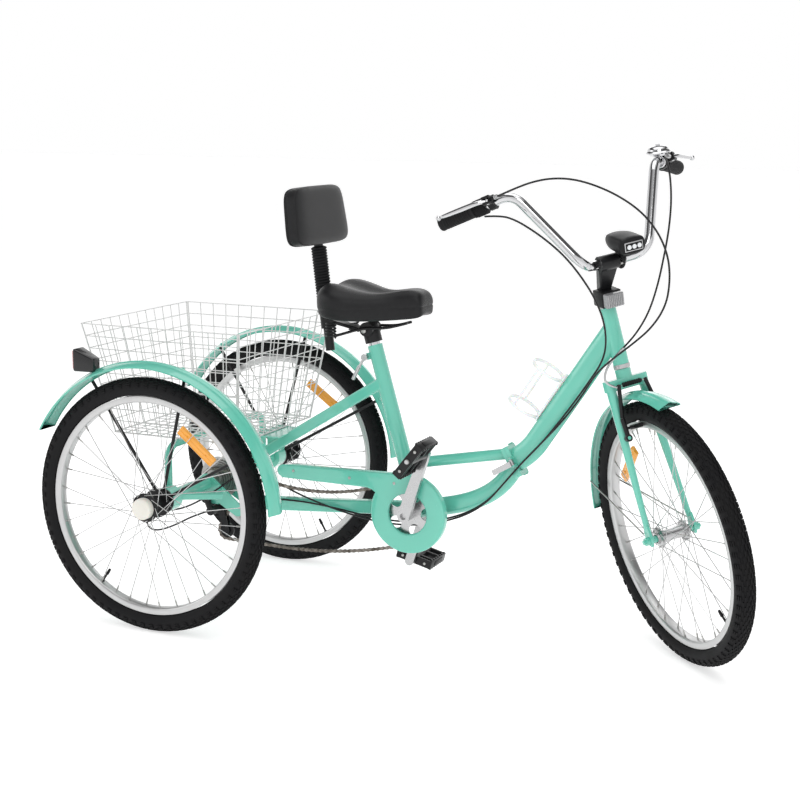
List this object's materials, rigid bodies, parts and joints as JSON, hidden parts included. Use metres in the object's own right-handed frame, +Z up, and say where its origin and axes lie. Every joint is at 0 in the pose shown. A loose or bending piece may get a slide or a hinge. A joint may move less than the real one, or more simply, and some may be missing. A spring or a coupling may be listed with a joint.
{
  "type": "adult tricycle",
  "caption": "Adult cargo tricycle with a folding low-step frame, wire basket behind the saddle and backrest, and raised handlebar.",
  "frame": {"origin": "on the ground under the middle of the whole tricycle's bounding box", "axes": "+X forward, +Y to the rider's left, +Z up"},
  "size_m": [1.6814, 0.75, 1.1413],
  "materials": {
    "mint_paint": "gloss enamel",
    "white_wire": "white coated wire",
    "black_metal": "satin black",
    "chrome": "polished",
    "silver": "brushed alloy",
    "spoke_steel": "bright wire",
    "chain_steel": "oiled steel",
    "tyre_rubber": "black rubber",
    "grip_rubber": "soft black",
    "saddle_vinyl": "black vinyl",
    "black_plastic": "matte black",
    "red_lens": "red lens and black case",
    "clear_plastic": "clear",
    "cable_cover": "black cable housing"
  },
  "bodies": {
    "rear_frame_body": {"rear_frame": "mint_paint", "frame_bearings": "mint_paint", "chainguard": "mint_paint", "chain": "chain_steel", "derailleur_body": "silver", "rear_fender_right": "mint_paint", "rear_fender_left": "mint_paint", "rear_fender_stays": "mint_paint", "tail_light": "red_lens", "basket": "white_wire"},
    "right_rear_wheel": {"rear_right_tyre": "tyre_rubber", "rear_right_rim": "silver", "rear_right_spokes": "spoke_steel", "rear_right_hub": "black_metal", "drive_axle": "spoke_steel"},
    "left_rear_wheel": {"rear_left_tyre": "tyre_rubber", "rear_left_rim": "silver", "rear_left_spokes": "spoke_steel", "rear_left_hub": "black_metal"},
    "freewheel_body": {"freewheel": "chain_steel"},
    "derailleur_cage_body": {"derailleur_cage": "silver"},
    "crankset": {"crank_spindle": "spoke_steel", "right_crank": "silver", "left_crank": "silver"},
    "right_pedal_body": {"right_pedal": "black_plastic"},
    "left_pedal_body": {"left_pedal": "black_plastic"},
    "seat": {"seat_post": "chrome", "saddle_clamp": "black_metal", "saddle_springs": "black_metal", "saddle": "saddle_vinyl"},
    "seat_lever": {"seat_clamp_lever": "silver"},
    "backrest": {"backrest_post": "black_metal", "backrest_sleeve": "grip_rubber", "backrest_pad": "saddle_vinyl"},
    "front_frame_body": {"front_frame": "mint_paint", "headset_cups": "silver", "bottle_cage": "clear_plastic", "rear_brake_cable": "cable_cover", "shift_cable": "cable_cover"},
    "fold_latch": {"fold_lever": "silver"},
    "steering": {"fork": "mint_paint", "front_fender": "mint_paint", "stem": "black_metal", "handlebar": "chrome", "grips": "grip_rubber", "brake_lever_mounts": "black_plastic", "bell": "chrome", "headlight": "black_plastic", "front_reflector": "clear_plastic", "front_brake_cable": "cable_cover"},
    "front_wheel": {"front_tyre": "tyre_rubber", "front_rim": "silver", "front_spokes": "spoke_steel", "front_hub": "black_metal"},
    "right_lever": {"right_brake_lever": "silver"},
    "left_lever": {"left_brake_lever": "silver"},
    "right_arm": {"right_brake_arm": "black_metal"},
    "left_arm": {"left_brake_arm": "black_metal"},
    "shifter": {"twist_shifter": "black_plastic"},
    "bell_thumb": {"bell_lever": "black_metal"}
  },
  "joints": [
    {"name": "right_wheel_spin", "type": "hinge", "parent": "rear_frame_body", "child": "right_rear_wheel", "pos_m": [-0.53887, -0.33, 0.302], "axis": [0, 1, 0], "continuous": true},
    {"name": "left_wheel_spin", "type": "hinge", "parent": "rear_frame_body", "child": "left_rear_wheel", "pos_m": [-0.53887, 0.33, 0.302], "axis": [0, 1, 0], "continuous": true},
    {"name": "crank_spin", "type": "hinge", "parent": "rear_frame_body", "child": "crankset", "pos_m": [-0.00687, 0, 0.278], "axis": [0, 1, 0], "continuous": true},
    {"name": "freewheel_spin", "type": "hinge", "parent": "rear_frame_body", "child": "freewheel_body", "pos_m": [-0.53887, -0.06, 0.302], "axis": [0, 1, 0], "continuous": true},
    {"name": "right_pedal_spin", "type": "hinge", "parent": "crankset", "child": "right_pedal_body", "pos_m": [0.04548, -0.12, 0.43447], "axis": [0, 1, 0], "continuous": true},
    {"name": "left_pedal_spin", "type": "hinge", "parent": "crankset", "child": "left_pedal_body", "pos_m": [-0.05922, 0.12, 0.12153], "axis": [0, 1, 0], "continuous": true},
    {"name": "derailleur_swing", "type": "hinge", "parent": "rear_frame_body", "child": "derailleur_cage_body", "pos_m": [-0.51687, -0.046, 0.238], "axis": [0, 1, 0], "range_deg": [-6, 12], "stiffness_Nm_per_rad": 2, "deforming": ["chain"]},
    {"name": "seat_height", "type": "slide", "parent": "rear_frame_body", "child": "seat", "axis": [-0.2832, 0, 0.959], "range_m": [0, 0.09]},
    {"name": "seat_clamp", "type": "hinge", "parent": "rear_frame_body", "child": "seat_lever", "pos_m": [-0.14027, 0, 0.63435], "axis": [0, 1, 0], "range_deg": [0, 110]},
    {"name": "backrest_height", "type": "slide", "parent": "seat", "child": "backrest", "axis": [-0.1266, 0, 0.9919], "range_m": [0, 0.06]},
    {"name": "frame_fold", "type": "hinge", "parent": "rear_frame_body", "child": "front_frame_body", "pos_m": [0.23413, 0.026, 0.418], "axis": [-0.5075, 0, 0.8616], "range_deg": [0, 90], "deforming": ["rear_brake_cable", "shift_cable"]},
    {"name": "fold_latch_swing", "type": "hinge", "parent": "front_frame_body", "child": "fold_latch", "pos_m": [0.23814, -0.029, 0.42036], "axis": [-0.5075, 0, 0.8616], "range_deg": [0, 110]},
    {"name": "steer", "type": "hinge", "parent": "front_frame_body", "child": "steering", "pos_m": [0.58587, 0, 0.2896], "axis": [-0.2756, 0, 0.9613], "range_deg": [-14, 106], "deforming": ["rear_brake_cable", "shift_cable"]},
    {"name": "front_wheel_spin", "type": "hinge", "parent": "steering", "child": "front_wheel", "pos_m": [0.61592, -0.03237, 0.29821], "axis": [0.6915, 0.6947, 0.1983], "continuous": true},
    {"name": "right_lever_pull", "type": "hinge", "parent": "steering", "child": "right_lever", "pos_m": [0.22174, -0.17505, 1.02141], "axis": [0.3739, -0.2313, -0.8982], "range_deg": [0, 10], "stiffness_Nm_per_rad": 1.5},
    {"name": "left_lever_pull", "type": "hinge", "parent": "steering", "child": "left_lever", "pos_m": [0.53745, 0.14211, 1.11194], "axis": [-0.4848, 0.1199, 0.8664], "range_deg": [0, 10], "stiffness_Nm_per_rad": 1.5},
    {"name": "right_brake_arm_swing", "type": "hinge", "parent": "steering", "child": "right_arm", "pos_m": [0.51887, -0.06173, 0.5098], "axis": [0.629, -0.7139, 0.3075], "range_deg": [-1.6, 0], "stiffness_Nm_per_rad": 4, "deforming": ["front_brake_cable"]},
    {"name": "left_brake_arm_swing", "type": "hinge", "parent": "steering", "child": "left_arm", "pos_m": [0.58186, 0.00156, 0.52786], "axis": [0.629, -0.7139, 0.3075], "range_deg": [0, 1.6], "stiffness_Nm_per_rad": 4, "deforming": ["front_brake_cable"]},
    {"name": "shift_twist", "type": "hinge", "parent": "steering", "child": "shifter", "pos_m": [0.20003, -0.14888, 1.00563], "axis": [-0.9196, 0.033, -0.3914], "range_deg": [-45, 45]},
    {"name": "bell_flick", "type": "hinge", "parent": "steering", "child": "bell_thumb", "pos_m": [0.51244, 0.12268, 1.12251], "axis": [-0.0809, -0.1983, 0.9768], "range_deg": [0, 22], "stiffness_Nm_per_rad": 0.2}
  ],
  "couplings": [
    {"joint": "freewheel_spin", "follows": "crank_spin", "ratio": 2.7143},
    {"joint": "left_brake_arm_swing", "follows": "left_lever_pull", "ratio": 0.16},
    {"joint": "right_brake_arm_swing", "follows": "left_lever_pull", "ratio": -0.16}
  ]
}
